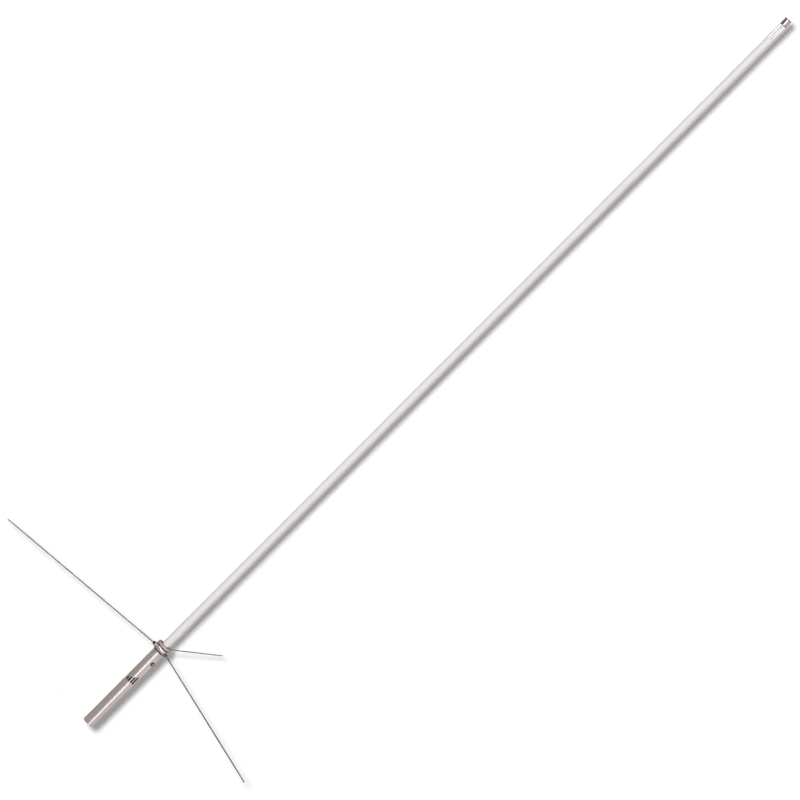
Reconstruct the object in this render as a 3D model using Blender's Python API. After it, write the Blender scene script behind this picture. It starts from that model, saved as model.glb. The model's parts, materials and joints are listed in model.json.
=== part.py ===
"""Omnidirectional dual-band base-station antenna with three ground-plane radials.

Frame: metres, +Z along the antenna's axis, origin at the centre of the support pipe's
lower end. Mast clamps grip the support pipe; everything else stands on its upper end.
"""
from math import atan2, cos, degrees, pi, radians, sin, sqrt, tau

import bmesh
import bpy
from mathutils import Vector

MM = 0.001
GAP = 0.3 * MM                       # free space kept between neighbouring pieces

# Driving dimensions of the whole antenna
OVERALL_HEIGHT = 2530 * MM
PIPE_RADIUS = 16 * MM
PIPE_WALL = 2 * MM
RING_BOTTOM = 263 * MM               # the hub's shoulder, which rests on the pipe
RING_TOP = 286.5 * MM
RING_RADIUS = 21 * MM
RADIAL_PLANE = 272 * MM              # where the radials' axes meet the antenna's axis
RADIAL_REACH = 526.5 * MM            # antenna axis to radial tip
RADIAL_DROOP = radians(1.15)
RADIAL_BEARINGS = [radians(196 + 120 * k) for k in range(3)]
RADIAL_ROD_RADIUS = 1.45 * MM
RADOME_FOOT_RADIUS = 9.8 * MM
RADOME_RADIUS = 9.2 * MM
RADOME_WALL = 1.6 * MM

# Hub and what it is plugged and screwed together with
SPIGOT_RADIUS = PIPE_RADIUS - PIPE_WALL - 0.4 * MM
SPIGOT_BOTTOM = 195.5 * MM
SOCKET_FLOOR = 237 * MM              # bottom of the bore that the radome is bonded into
SOCKET_RADIUS = RADOME_FOOT_RADIUS + 0.4 * MM
SEAL_RECESS_RADIUS = 12.2 * MM
SEAL_RECESS_DEPTH = 1.6 * MM
FEED_BORE_RADIUS = 6.6 * MM
KEYWAY_FLOOR = 9.6 * MM              # distance of the keyway's flat floor from the axis
KEYWAY_TOP = 235.2 * MM
KEYWAY_HALF_WIDTH = 5.6 * MM
BOSS_RADIUS = 5.5 * MM
BOSS_START = 13 * MM
BOSS_END = 24.2 * MM
RADIAL_HOLE_FLOOR = 12.4 * MM

# Lock screw, M6, in a clinch nut in the pipe's wall
SCREW_HEIGHT = 229 * MM
SCREW_BEARING = RADIAL_BEARINGS[1]
SCREW_RADIUS = 3 * MM
SCREW_HEAD_RADIUS = 5.2 * MM
SCREW_HEAD_HEIGHT = 3 * MM
SCREW_SLOT_WIDTH = 1.4 * MM
SCREW_SLOT_DEPTH = 1.2 * MM
SCREW_WASHER_RADIUS = 6.2 * MM
SCREW_WASHER_THICKNESS = 0.9 * MM
CLINCH_SHANK_RADIUS = 4 * MM         # in the pipe's wall
CLINCH_BODY_RADIUS = 5 * MM          # inside the pipe, free in the keyway
CLINCH_BODY_FOOT = KEYWAY_FLOOR + 1.1 * MM

# Radial fasteners, M5
THREAD_RADIUS = 2.4 * MM
THREAD_END = 31 * MM
NUT_ACROSS_FLATS = 8 * MM
NUT_THICKNESS = 2.7 * MM
WASHER_RADIUS = 4.4 * MM
WASHER_THICKNESS = 0.9 * MM

# Cable socket under the hub, mouth down, its neck screwed into the spigot
CONNECTOR_MOUTH = 172 * MM
CONNECTOR_RADIUS = 7.8 * MM
CONNECTOR_BORE_RADIUS = 5.6 * MM
CONNECTOR_RELIEF_RADIUS = 7 * MM     # where the barrel's thread runs out
CONNECTOR_FLANGE_RADIUS = 9.2 * MM
CONNECTOR_FLANGE_BOTTOM = 190.3 * MM
CONNECTOR_FLANGE_TOP = 194.2 * MM
CONNECTOR_NECK_RADIUS = 6.3 * MM
CONNECTOR_NECK_BORE_RADIUS = 4.6 * MM
CONNECTOR_NECK_TOP = 208 * MM
CONNECTOR_BORE_TOP = 192 * MM        # where the barrel's bore narrows to the neck's
CONTACT_RADIUS = 2.6 * MM
CONTACT_PIN_HOLE_RADIUS = 2 * MM
CONTACT_TOP = 211 * MM

# Top end
CAP_HEIGHT = 18.2 * MM
CAP_RADIUS = 9.5 * MM
CAP_PLUG_LENGTH = 16 * MM
CAP_HOLLOW_RADIUS = 5.4 * MM
CAP_HOLLOW_REACH = 12 * MM           # above the cap's shoulder
CAP_GASKET_THICKNESS = 0.8 * MM
TIP_SLEEVE_LENGTH = 48 * MM
RADOME_TOP = OVERALL_HEIGHT - CAP_HEIGHT - CAP_GASKET_THICKNESS - 2 * GAP

# Radiator inside the radome
RADIATOR_RADIUS = 1.25 * MM
RADIATOR_TOP = 2440 * MM
PHASING_HEIGHTS = [850 * MM, 1400 * MM, 1950 * MM]
PHASING_FORMER_LENGTH = 56 * MM
FORMER_RADIUS = 4 * MM
COIL_RADIUS = 5.3 * MM
COIL_WIRE_RADIUS = 0.6 * MM
COIL_MARGIN = 6 * MM                 # bare former at each end of its coil
PHASING_TURNS = 6
MATCHING_BOTTOM = 258 * MM
MATCHING_LENGTH = 64 * MM
MATCHING_TURNS = 8
CAPACITOR_RADIUS = 5 * MM
CAPACITOR_HEIGHT = 5 * MM
FEED_ROD_RADIUS = 1.5 * MM
FEED_BUSH_BOTTOM = 215 * MM
FEED_BUSH_TOP = 233 * MM
SPACER_HEIGHTS = [500 * MM, 700 * MM, 1120 * MM, 1680 * MM, 2120 * MM, 2360 * MM]
SPACER_LENGTH = 30 * MM

ROUND = 48                           # facets of the pipe and the hub
SLIM = 32                            # facets of the radome and its end pieces
INNER = 20                           # facets of what is inside the pipe and the radome
SMALL = 12                           # facets of rods and small fasteners


def clear_scene():
    for old in list(bpy.data.objects):
        bpy.data.objects.remove(old)


def material(name, colour, roughness, metallic):
    made = bpy.data.materials.new(name)
    made.use_nodes = True
    shader = made.node_tree.nodes["Principled BSDF"]
    shader.inputs["Base Color"].default_value = (*colour, 1)
    shader.inputs["Roughness"].default_value = roughness
    shader.inputs["Metallic"].default_value = metallic
    return made


def add_object(name, bm, mat, parent=None):
    """Turn a finished bmesh into a named object, with its faces pointing out."""
    bmesh.ops.recalc_face_normals(bm, faces=bm.faces)
    mesh = bpy.data.meshes.new(name)
    bm.to_mesh(mesh)
    bm.free()
    mesh.materials.append(mat)
    mesh.shade_smooth()
    mesh.set_sharp_from_angle(angle=radians(30))
    made = bpy.data.objects.new(name, mesh)
    made.parent = parent
    bpy.context.collection.objects.link(made)
    return made


def turned(name, outline, facets, mat, parent=None):
    """Spin an outline of (radius, height) points about the local Z axis.

    An outline that starts and ends on the axis makes a solid; any other is closed to a tube.
    """
    bm = bmesh.new()
    corners = [bm.verts.new((r, 0, z)) for r, z in outline]
    edges = [bm.edges.new(pair) for pair in zip(corners, corners[1:])]
    if outline[0][0] > 0:
        edges.append(bm.edges.new((corners[-1], corners[0])))
    bmesh.ops.spin(bm, geom=corners + edges, cent=(0, 0, 0), axis=(0, 0, 1), angle=tau,
                   steps=facets, use_merge=True)
    bmesh.ops.remove_doubles(bm, verts=bm.verts, dist=1e-6)
    return add_object(name, bm, mat, parent)


def tube(name, inner, outer, low, high, facets, mat, parent=None):
    outline = [(inner, low), (outer, low), (outer, high), (inner, high)]
    return turned(name, outline, facets, mat, parent)


def rod(name, radius, low, high, facets, mat, parent=None, chamfer=0.0):
    outline = [(0, low), (radius - chamfer, low), (radius, low + chamfer),
               (radius, high - chamfer), (radius - chamfer, high), (0, high)]
    if not chamfer:
        outline = [(0, low), (radius, low), (radius, high), (0, high)]
    return turned(name, outline, facets, mat, parent)


def arc(centre_r, centre_z, radius, start, end, steps):
    """Points of a circular arc in the (radius, height) plane, angles from outward, in degrees."""
    turns = [radians(start + (end - start) * k / steps) for k in range(steps + 1)]
    return [(centre_r + radius * cos(a), centre_z + radius * sin(a)) for a in turns]


def bulge(start, middle, end, steps):
    """Points of the circle through three (radius, height) points, from start to end."""
    (ax, ay), (bx, by), (cx, cy) = start, middle, end
    d = 2 * (ax * (by - cy) + bx * (cy - ay) + cx * (ay - by))
    a2, b2, c2 = ax * ax + ay * ay, bx * bx + by * by, cx * cx + cy * cy
    ux = (a2 * (by - cy) + b2 * (cy - ay) + c2 * (ay - by)) / d
    uy = (a2 * (cx - bx) + b2 * (ax - cx) + c2 * (bx - ax)) / d
    first, last = (degrees(atan2(y - uy, x - ux)) for x, y in (start, end))
    return arc(ux, uy, sqrt((ax - ux) ** 2 + (ay - uy) ** 2), first, last, steps)


def ring_torus(name, major, minor, height, mat, parent=None):
    """A rubber ring of round section, centred on the axis."""
    section = arc(major, height, minor, 0, 300, 5)
    return turned(name, section, SLIM, mat, parent)


def hexagon(name, across_flats, bore, low, high, mat, parent=None):
    """A hexagonal nut with a round bore along local Z."""
    bm = bmesh.new()
    facets = 24
    levels = []
    for z in (low, high):
        hex_ring, bore_ring = [], []
        for k in range(facets):
            a = tau * k / facets
            reach = across_flats / 2 / cos(a % (pi / 3) - pi / 6)
            hex_ring.append(bm.verts.new((reach * cos(a), reach * sin(a), z)))
            bore_ring.append(bm.verts.new((bore * cos(a), bore * sin(a), z)))
        levels.append((hex_ring, bore_ring))
    (hex_low, bore_low), (hex_high, bore_high) = levels
    for k in range(facets):
        n = (k + 1) % facets
        bm.faces.new((hex_low[k], hex_low[n], hex_high[n], hex_high[k]))
        bm.faces.new((bore_low[k], bore_high[k], bore_high[n], bore_low[n]))
        bm.faces.new((hex_high[k], hex_high[n], bore_high[n], bore_high[k]))
        bm.faces.new((hex_low[k], bore_low[k], bore_low[n], hex_low[n]))
    return add_object(name, bm, mat, parent)


def coil(name, bottom, top, turns, mat, parent=None):
    """A wire wound on a former: a closed tube that follows a helix about the axis."""
    bm = bmesh.new()
    steps_per_turn = 12
    sides = 5
    count = turns * steps_per_turn
    climb = (top - bottom) / (turns * tau)
    rings = []
    for k in range(count + 1):
        a = tau * k / steps_per_turn
        centre = Vector((COIL_RADIUS * cos(a), COIL_RADIUS * sin(a), bottom + climb * a))
        outward = Vector((cos(a), sin(a), 0))
        along = Vector((-COIL_RADIUS * sin(a), COIL_RADIUS * cos(a), climb)).normalized()
        upward = along.cross(outward)
        angles = [tau * s / sides for s in range(sides)]
        rings.append([bm.verts.new(centre + COIL_WIRE_RADIUS * (cos(t) * outward + sin(t) * upward))
                      for t in angles])
    for low, high in zip(rings, rings[1:]):
        for s in range(sides):
            n = (s + 1) % sides
            bm.faces.new((low[s], low[n], high[n], high[s]))
    bm.faces.new(rings[0])
    bm.faces.new(rings[-1])
    return add_object(name, bm, mat, parent)


def block(name, x, y, z, mat, parent=None):
    """A cuboid between the given (low, high) pairs."""
    bm = bmesh.new()
    bmesh.ops.create_cube(bm, size=1)
    for v in bm.verts:
        v.co = [low + (high - low) * (c + 0.5) for c, (low, high) in zip(v.co, (x, y, z))]
    return add_object(name, bm, mat, parent)


def axis_empty(name, height, bearing, droop=0.0):
    """An empty on the antenna's axis whose local Z points outward along a fastener's axis."""
    made = bpy.data.objects.new(name, None)
    outward = Vector((cos(droop) * cos(bearing), cos(droop) * sin(bearing), -sin(droop)))
    made.location = (0, 0, height)
    made.rotation_mode = "QUATERNION"
    made.rotation_quaternion = outward.to_track_quat("Z", "Y")
    bpy.context.collection.objects.link(made)
    return made


def boolean(target, tool, operation):
    tool.hide_render = True
    tool.display_type = "WIRE"
    step = target.modifiers.new(f"{operation.lower()} {tool.name}", "BOOLEAN")
    step.operation = operation
    step.solver = "EXACT"
    step.object = tool


def make_support_pipe(mats, screw_axis):
    inner = PIPE_RADIUS - PIPE_WALL
    edge = 0.4 * MM
    top = RING_BOTTOM - GAP
    outline = [(inner, 0), (PIPE_RADIUS - edge, 0), (PIPE_RADIUS, edge),
               (PIPE_RADIUS, top - edge), (PIPE_RADIUS - edge, top), (inner, top)]
    pipe = turned("support_pipe", outline, ROUND, mats["pipe"])
    hole = rod("clinch_nut_hole", CLINCH_SHANK_RADIUS + GAP, PIPE_RADIUS - 2 * PIPE_WALL,
               PIPE_RADIUS + PIPE_WALL, SMALL, mats["pipe"], screw_axis)
    boolean(pipe, hole, "DIFFERENCE")


def make_clinch_nut(mats, axis):
    """The threaded insert in the pipe's wall, its body just clear of the pipe's round bore."""
    bore = SCREW_RADIUS + GAP
    inner = PIPE_RADIUS - PIPE_WALL
    shoulder = sqrt(inner ** 2 - CLINCH_BODY_RADIUS ** 2) - GAP
    top = PIPE_RADIUS - GAP
    outline = [(bore, CLINCH_BODY_FOOT), (CLINCH_BODY_RADIUS, CLINCH_BODY_FOOT),
               (CLINCH_BODY_RADIUS, shoulder), (CLINCH_SHANK_RADIUS, shoulder),
               (CLINCH_SHANK_RADIUS, top), (bore, top)]
    turned("clinch_nut", outline, SMALL, mats["steel"], axis)


def make_lock_screw(mats, axis):
    """The M6 screw and its washer, along the screw's own axis, tip towards the keyway."""
    washer_low = PIPE_RADIUS + GAP
    washer_high = washer_low + SCREW_WASHER_THICKNESS
    tube("screw_washer", SCREW_RADIUS + GAP, SCREW_WASHER_RADIUS, washer_low, washer_high, 24,
         mats["rubber"], axis)
    tip = KEYWAY_FLOOR + GAP
    head_low = washer_high + GAP
    head_high = head_low + SCREW_HEAD_HEIGHT
    chamfer = 0.7 * MM
    outline = [(0, tip), (SCREW_RADIUS - chamfer, tip), (SCREW_RADIUS, tip + chamfer),
               (SCREW_RADIUS, head_low), (SCREW_HEAD_RADIUS, head_low),
               (SCREW_HEAD_RADIUS, head_high - chamfer),
               (SCREW_HEAD_RADIUS - chamfer, head_high), (0, head_high)]
    screw = turned("lock_screw", outline, 24, mats["steel"], axis)
    past = 2 * MM
    reach = SCREW_HEAD_RADIUS + past
    slot = block("driver_slot", (-SCREW_SLOT_WIDTH / 2, SCREW_SLOT_WIDTH / 2), (-reach, reach),
                 (head_high - SCREW_SLOT_DEPTH, head_high + past), mats["steel"], axis)
    boolean(screw, slot, "DIFFERENCE")


def hub_outline():
    """The hub's turned section: spigot, barrel, groove, collar, and the bores inside."""
    barrel_foot, barrel_middle = (17.8 * MM, RING_BOTTOM), (RING_RADIUS, 271 * MM)
    barrel_end = (20 * MM, 278.6 * MM)
    groove_radius, groove_low, groove_high = 19.5 * MM, 278.7 * MM, 279.5 * MM
    collar_radius, collar_low = 20.6 * MM, 279.8 * MM
    chamfer = 1.2 * MM
    spigot_chamfer = 1 * MM
    recess_floor = RING_TOP - SEAL_RECESS_DEPTH
    return [(FEED_BORE_RADIUS, SPIGOT_BOTTOM), (SPIGOT_RADIUS - spigot_chamfer, SPIGOT_BOTTOM),
            (SPIGOT_RADIUS, SPIGOT_BOTTOM + spigot_chamfer), (SPIGOT_RADIUS, RING_BOTTOM),
            *bulge(barrel_foot, barrel_middle, barrel_end, 8),
            (groove_radius, groove_low), (groove_radius, groove_high),
            (collar_radius, collar_low), (collar_radius, RING_TOP - chamfer),
            (collar_radius - chamfer, RING_TOP), (SEAL_RECESS_RADIUS, RING_TOP),
            (SEAL_RECESS_RADIUS, recess_floor), (SOCKET_RADIUS, recess_floor),
            (SOCKET_RADIUS, SOCKET_FLOOR), (FEED_BORE_RADIUS, SOCKET_FLOOR)]


def make_hub(mats, radial_axes):
    """The plated casting: turned section, three radial bosses, their holes and the keyway."""
    hub = turned("hub", hub_outline(), ROUND, mats["chrome"])
    past = 5 * MM
    for number, axis in enumerate(radial_axes, 1):
        boss = rod(f"boss_{number}", BOSS_RADIUS, BOSS_START, BOSS_END, 24, mats["chrome"], axis,
                   chamfer=0.6 * MM)
        boolean(hub, boss, "UNION")
    for number, axis in enumerate(radial_axes, 1):
        hole = rod(f"radial_hole_{number}", THREAD_RADIUS + GAP, RADIAL_HOLE_FLOOR,
                   BOSS_END + past, SMALL, mats["chrome"], axis)
        boolean(hub, hole, "DIFFERENCE")
    keyway = block("keyway", (KEYWAY_FLOOR, SPIGOT_RADIUS + past),
                   (-KEYWAY_HALF_WIDTH, KEYWAY_HALF_WIDTH), (SPIGOT_BOTTOM - past, KEYWAY_TOP),
                   mats["chrome"])
    keyway.rotation_euler = (0, 0, SCREW_BEARING)
    boolean(hub, keyway, "DIFFERENCE")


def make_radial(number, mats, axis):
    """One ground-plane radial: threaded rod, lock nut and washer."""
    chamfer = 0.5 * MM
    start = RADIAL_HOLE_FLOOR + GAP
    shoulder = 1 * MM
    outline = [(0, start), (THREAD_RADIUS - chamfer, start), (THREAD_RADIUS, start + chamfer),
               (THREAD_RADIUS, THREAD_END - shoulder), (RADIAL_ROD_RADIUS, THREAD_END),
               *arc(0, RADIAL_REACH - RADIAL_ROD_RADIUS, RADIAL_ROD_RADIUS, 0, 90, 3)]
    outline[-1] = (0, RADIAL_REACH)
    turned(f"radial_rod_{number}", outline, SMALL, mats["steel"], axis)
    bore = THREAD_RADIUS + GAP
    washer_low = BOSS_END + GAP
    nut_low = washer_low + WASHER_THICKNESS + GAP
    tube(f"radial_washer_{number}", bore, WASHER_RADIUS, washer_low,
         washer_low + WASHER_THICKNESS, 24, mats["steel"], axis)
    hexagon(f"radial_nut_{number}", NUT_ACROSS_FLATS, bore, nut_low, nut_low + NUT_THICKNESS,
            mats["steel"], axis)


def make_radome(mats):
    """The fibreglass tube, wider at its foot, which is bonded into the hub, and its seal."""
    foot, taper_end = SOCKET_FLOOR + 1 * MM, 800 * MM
    foot_bore, bore = RADOME_FOOT_RADIUS - RADOME_WALL, RADOME_RADIUS - RADOME_WALL
    outline = [(foot_bore, foot), (RADOME_FOOT_RADIUS, foot), (RADOME_FOOT_RADIUS, RING_TOP),
               (RADOME_RADIUS, taper_end), (RADOME_RADIUS, RADOME_TOP), (bore, RADOME_TOP),
               (bore, taper_end), (foot_bore, RING_TOP)]
    turned("radome", outline, SLIM, mats["fibreglass"])
    seal_major = (SEAL_RECESS_RADIUS + RADOME_FOOT_RADIUS) / 2
    seal_minor = (SEAL_RECESS_RADIUS - RADOME_FOOT_RADIUS) / 2 - GAP
    ring_torus("radome_seal", seal_major, seal_minor,
               RING_TOP - SEAL_RECESS_DEPTH + GAP + seal_minor, mats["rubber"])


def make_top_end(mats):
    """The glossy tip sleeve, and the plated cap plugged into the radome on its gasket."""
    sleeve_top = RADOME_TOP - GAP
    tube("tip_sleeve", RADOME_RADIUS + 0.1 * MM, CAP_RADIUS, sleeve_top - TIP_SLEEVE_LENGTH,
         sleeve_top, SLIM, mats["sleeve"])
    radome_bore = RADOME_RADIUS - RADOME_WALL
    gasket_low = RADOME_TOP + GAP
    tube("cap_gasket", radome_bore, RADOME_RADIUS, gasket_low, gasket_low + CAP_GASKET_THICKNESS,
         SLIM, mats["rubber"])
    shoulder = OVERALL_HEIGHT - CAP_HEIGHT
    foot = shoulder - CAP_PLUG_LENGTH
    ceiling = shoulder + CAP_HOLLOW_REACH
    plug = radome_bore - 0.4 * MM
    chamfer, rim = 0.5 * MM, 0.3 * MM
    edge = 1.2 * MM
    dome = arc(CAP_RADIUS - edge, OVERALL_HEIGHT - edge, edge, 0, 90, 3)
    outline = [(0, ceiling), (CAP_HOLLOW_RADIUS, ceiling), (CAP_HOLLOW_RADIUS, foot),
               (plug - chamfer, foot), (plug, foot + chamfer), (plug, shoulder),
               (CAP_RADIUS - rim, shoulder), (CAP_RADIUS, shoulder + rim), *dome,
               (0, OVERALL_HEIGHT)]
    turned("top_cap", outline, SLIM, mats["chrome"])


def make_connector(mats):
    """The cable socket with its washer, insulator and spring contact, and the feed rod."""
    chamfer = 0.5 * MM
    relief = CONNECTOR_FLANGE_BOTTOM - 1 * MM
    outline = [(CONNECTOR_BORE_RADIUS, CONNECTOR_MOUTH), (CONNECTOR_RADIUS - chamfer, CONNECTOR_MOUTH),
               (CONNECTOR_RADIUS, CONNECTOR_MOUTH + chamfer), (CONNECTOR_RADIUS, relief - chamfer),
               (CONNECTOR_RELIEF_RADIUS, relief), (CONNECTOR_RELIEF_RADIUS, CONNECTOR_FLANGE_BOTTOM),
               (CONNECTOR_FLANGE_RADIUS, CONNECTOR_FLANGE_BOTTOM),
               (CONNECTOR_FLANGE_RADIUS, CONNECTOR_FLANGE_TOP),
               (CONNECTOR_NECK_RADIUS, CONNECTOR_FLANGE_TOP),
               (CONNECTOR_NECK_RADIUS, CONNECTOR_NECK_TOP),
               (CONNECTOR_NECK_BORE_RADIUS, CONNECTOR_NECK_TOP),
               (CONNECTOR_NECK_BORE_RADIUS, CONNECTOR_BORE_TOP),
               (CONNECTOR_BORE_RADIUS, CONNECTOR_BORE_TOP)]
    turned("coax_connector", outline, 24, mats["nickel"])
    tube("connector_washer", CONNECTOR_NECK_RADIUS + GAP, CONNECTOR_FLANGE_RADIUS,
         CONNECTOR_FLANGE_TOP + GAP, SPIGOT_BOTTOM - GAP, INNER, mats["steel"])
    recess = 1.5 * MM
    contact_bore = CONTACT_RADIUS + GAP
    face, shoulder = CONNECTOR_MOUTH + recess, CONNECTOR_BORE_TOP - GAP
    top = CONNECTOR_NECK_TOP - GAP
    wide, narrow = CONNECTOR_BORE_RADIUS - GAP, CONNECTOR_NECK_BORE_RADIUS - GAP
    outline = [(contact_bore, face), (wide, face), (wide, shoulder), (narrow, shoulder),
               (narrow, top), (contact_bore, top)]
    turned("connector_insulator", outline, INNER, mats["insulator"])
    pin_low, pin_floor = face + 1 * MM, 189 * MM
    outline = [(0, pin_floor), (CONTACT_PIN_HOLE_RADIUS, pin_floor),
               (CONTACT_PIN_HOLE_RADIUS, pin_low), (CONTACT_RADIUS, pin_low),
               (CONTACT_RADIUS, CONTACT_TOP), (0, CONTACT_TOP)]
    turned("connector_contact", outline, SMALL, mats["brass"])
    tube("feed_bush", FEED_ROD_RADIUS + 0.4 * MM, FEED_BORE_RADIUS - 0.4 * MM, FEED_BUSH_BOTTOM,
         FEED_BUSH_TOP, INNER, mats["insulator"])
    rod("feed_rod", FEED_ROD_RADIUS, CONTACT_TOP + GAP, MATCHING_BOTTOM - GAP, SMALL,
        mats["brass"])


def make_radiator(mats):
    """Matching section, then four radiating rods joined by three phasing coils on formers."""
    former_top = MATCHING_BOTTOM + MATCHING_LENGTH
    rod("matching_former", FORMER_RADIUS, MATCHING_BOTTOM, former_top, INNER, mats["insulator"])
    coil("matching_coil", MATCHING_BOTTOM + COIL_MARGIN, former_top - COIL_MARGIN,
         MATCHING_TURNS, mats["copper"])
    capacitor_low = former_top + GAP
    capacitor_top = capacitor_low + CAPACITOR_HEIGHT
    rod("matching_capacitor", CAPACITOR_RADIUS, capacitor_low, capacitor_top, INNER,
        mats["ceramic"], chamfer=0.8 * MM)
    low = capacitor_top + GAP
    half = PHASING_FORMER_LENGTH / 2
    for number, middle in enumerate(PHASING_HEIGHTS, 1):
        rod(f"radiator_{number}", RADIATOR_RADIUS, low, middle - half - GAP, SMALL, mats["brass"])
        rod(f"phasing_former_{number}", FORMER_RADIUS, middle - half, middle + half, INNER,
            mats["insulator"])
        coil(f"phasing_coil_{number}", middle - half + COIL_MARGIN, middle + half - COIL_MARGIN,
             PHASING_TURNS, mats["copper"])
        low = middle + half + GAP
    rod("radiator_4", RADIATOR_RADIUS, low, RADIATOR_TOP, SMALL, mats["brass"])


def make_spacers(mats):
    """Foam discs that hold the radiator in the middle of the radome."""
    half = SPACER_LENGTH / 2
    outer = RADOME_RADIUS - RADOME_WALL - 0.5 * MM
    for number, middle in enumerate(SPACER_HEIGHTS, 1):
        tube(f"foam_spacer_{number}", RADIATOR_RADIUS + GAP, outer, middle - half, middle + half,
             INNER, mats["foam"])


def main():
    clear_scene()
    mats = {
        "pipe": material("satin_steel", (0.46, 0.42, 0.40), 0.36, 1.0),
        "chrome": material("chrome_plate", (0.72, 0.70, 0.69), 0.08, 1.0),
        "steel": material("stainless_steel", (0.50, 0.49, 0.48), 0.28, 1.0),
        "nickel": material("nickel_plate", (0.66, 0.63, 0.57), 0.22, 1.0),
        "brass": material("brass", (0.70, 0.53, 0.26), 0.30, 1.0),
        "copper": material("copper", (0.80, 0.42, 0.26), 0.30, 1.0),
        "fibreglass": material("radome_fibreglass", (0.82, 0.78, 0.78), 0.35, 0.0),
        "sleeve": material("gloss_sleeve", (0.84, 0.83, 0.83), 0.08, 0.0),
        "insulator": material("white_insulator", (0.88, 0.87, 0.84), 0.45, 0.0),
        "ceramic": material("ceramic", (0.55, 0.42, 0.28), 0.35, 0.0),
        "rubber": material("black_rubber", (0.03, 0.03, 0.03), 0.60, 0.0),
        "foam": material("white_foam", (0.90, 0.90, 0.88), 0.90, 0.0),
    }
    screw_axis = axis_empty("lock_screw_axis", SCREW_HEIGHT, SCREW_BEARING)
    radial_axes = [axis_empty(f"radial_axis_{number}", RADIAL_PLANE, bearing, RADIAL_DROOP)
                   for number, bearing in enumerate(RADIAL_BEARINGS, 1)]
    make_support_pipe(mats, screw_axis)
    make_clinch_nut(mats, screw_axis)
    make_lock_screw(mats, screw_axis)
    make_hub(mats, radial_axes)
    for number, axis in enumerate(radial_axes, 1):
        make_radial(number, mats, axis)
    make_radome(mats)
    make_top_end(mats)
    make_connector(mats)
    make_radiator(mats)
    make_spacers(mats)


main()
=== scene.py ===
import json
from math import cos, hypot, pi, radians, sin, sqrt, tau

import bmesh
import bpy
from mathutils import Matrix, Vector


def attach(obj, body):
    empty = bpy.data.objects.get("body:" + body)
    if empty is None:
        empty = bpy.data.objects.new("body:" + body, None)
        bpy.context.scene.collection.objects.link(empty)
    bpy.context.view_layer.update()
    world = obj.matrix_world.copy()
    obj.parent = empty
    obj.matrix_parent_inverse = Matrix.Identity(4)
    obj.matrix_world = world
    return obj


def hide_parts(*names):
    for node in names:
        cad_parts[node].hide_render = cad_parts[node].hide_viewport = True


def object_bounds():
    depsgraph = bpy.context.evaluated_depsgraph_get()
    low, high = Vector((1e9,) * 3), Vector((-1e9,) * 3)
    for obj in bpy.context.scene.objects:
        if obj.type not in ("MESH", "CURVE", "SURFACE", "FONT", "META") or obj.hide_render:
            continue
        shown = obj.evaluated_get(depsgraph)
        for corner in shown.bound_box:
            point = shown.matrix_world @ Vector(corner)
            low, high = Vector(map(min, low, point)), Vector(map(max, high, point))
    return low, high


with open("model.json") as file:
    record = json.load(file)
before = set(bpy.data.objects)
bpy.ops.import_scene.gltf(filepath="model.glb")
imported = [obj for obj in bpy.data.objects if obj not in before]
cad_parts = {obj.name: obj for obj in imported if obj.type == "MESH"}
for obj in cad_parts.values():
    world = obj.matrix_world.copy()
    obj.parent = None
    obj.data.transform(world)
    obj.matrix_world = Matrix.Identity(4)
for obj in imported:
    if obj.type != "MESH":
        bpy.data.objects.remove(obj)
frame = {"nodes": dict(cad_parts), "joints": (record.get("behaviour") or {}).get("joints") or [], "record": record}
cad_bounds = [list(corner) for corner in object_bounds()]

MM = 0.001
GAP = 0.3 * MM                       # kept between neighbouring pieces
PIPE_BORE = 14 * MM
CLINCH_SHANK = 4 * MM                # radius of the clinch nut's shank in the pipe's wall
M6_RADIUS = 3 * MM
M6_PITCH = 1.0 * MM
M5_PITCH = 0.8 * MM
SOCKET_PITCH = 25.4 * MM / 24        # 24 threads to the inch
JOINTS = {joint["name"]: joint for joint in frame["joints"]}
BODIES = frame["record"]["behaviour"]["bodies"]
BODY_OF = {node: body for body, nodes in BODIES.items() for node in nodes}
SLOT_OF = {part["node"]: part["material_slot"] for part in frame["record"]["subparts"]}
UPRIGHT = Matrix.Identity(4)
LOOKS = {}                           # the finished materials, by the record's slot or a name of their own


# ---------------------------------------------------------------- materials

class Graph:
    """A node tree under construction. A value is a constant or another node's output."""

    def __init__(self, tree):
        self.nodes, self.links = tree.nodes, tree.links

    def put(self, socket, value):
        if isinstance(value, bpy.types.NodeSocket):
            self.links.new(value, socket)
        elif socket.type == "RGBA" and len(value) == 3:
            socket.default_value = (*value, 1)
        else:
            socket.default_value = value

    def math(self, operation, first, second):
        node = self.nodes.new("ShaderNodeMath")
        node.operation = operation
        self.put(node.inputs[0], first)
        self.put(node.inputs[1], second)
        return node.outputs[0]

    def tint(self, share, first, second, kind="MIX"):
        """Two colours mixed, or multiplied, by a share."""
        node = self.nodes.new("ShaderNodeMix")
        node.data_type = "RGBA"
        node.blend_type = kind
        self.put(node.inputs["Factor"], share)
        self.put(node.inputs[6], first)
        self.put(node.inputs[7], second)
        return node.outputs[2]

    def colours(self, value, *stops):
        """A colour ramp through (value, colour) stops."""
        node = self.nodes.new("ShaderNodeValToRGB")
        elements = node.color_ramp.elements
        while len(elements) < len(stops):
            elements.new(1.0)
        for element, (position, colour) in zip(elements, stops):
            element.position = position
            element.color = (*colour, 1)
        self.put(node.inputs["Fac"], value)
        return node.outputs["Color"]

    def background(self, colour, strength):
        node = self.nodes.new("ShaderNodeBackground")
        self.put(node.inputs["Color"], colour)
        self.put(node.inputs["Strength"], strength)
        return node.outputs["Background"]

    def choose(self, share, first, second):
        """The first shader where the share is 0, and the second where it is 1."""
        node = self.nodes.new("ShaderNodeMixShader")
        self.put(node.inputs["Fac"], share)
        self.put(node.inputs[1], first)
        self.put(node.inputs[2], second)
        return node.outputs["Shader"]


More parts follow.
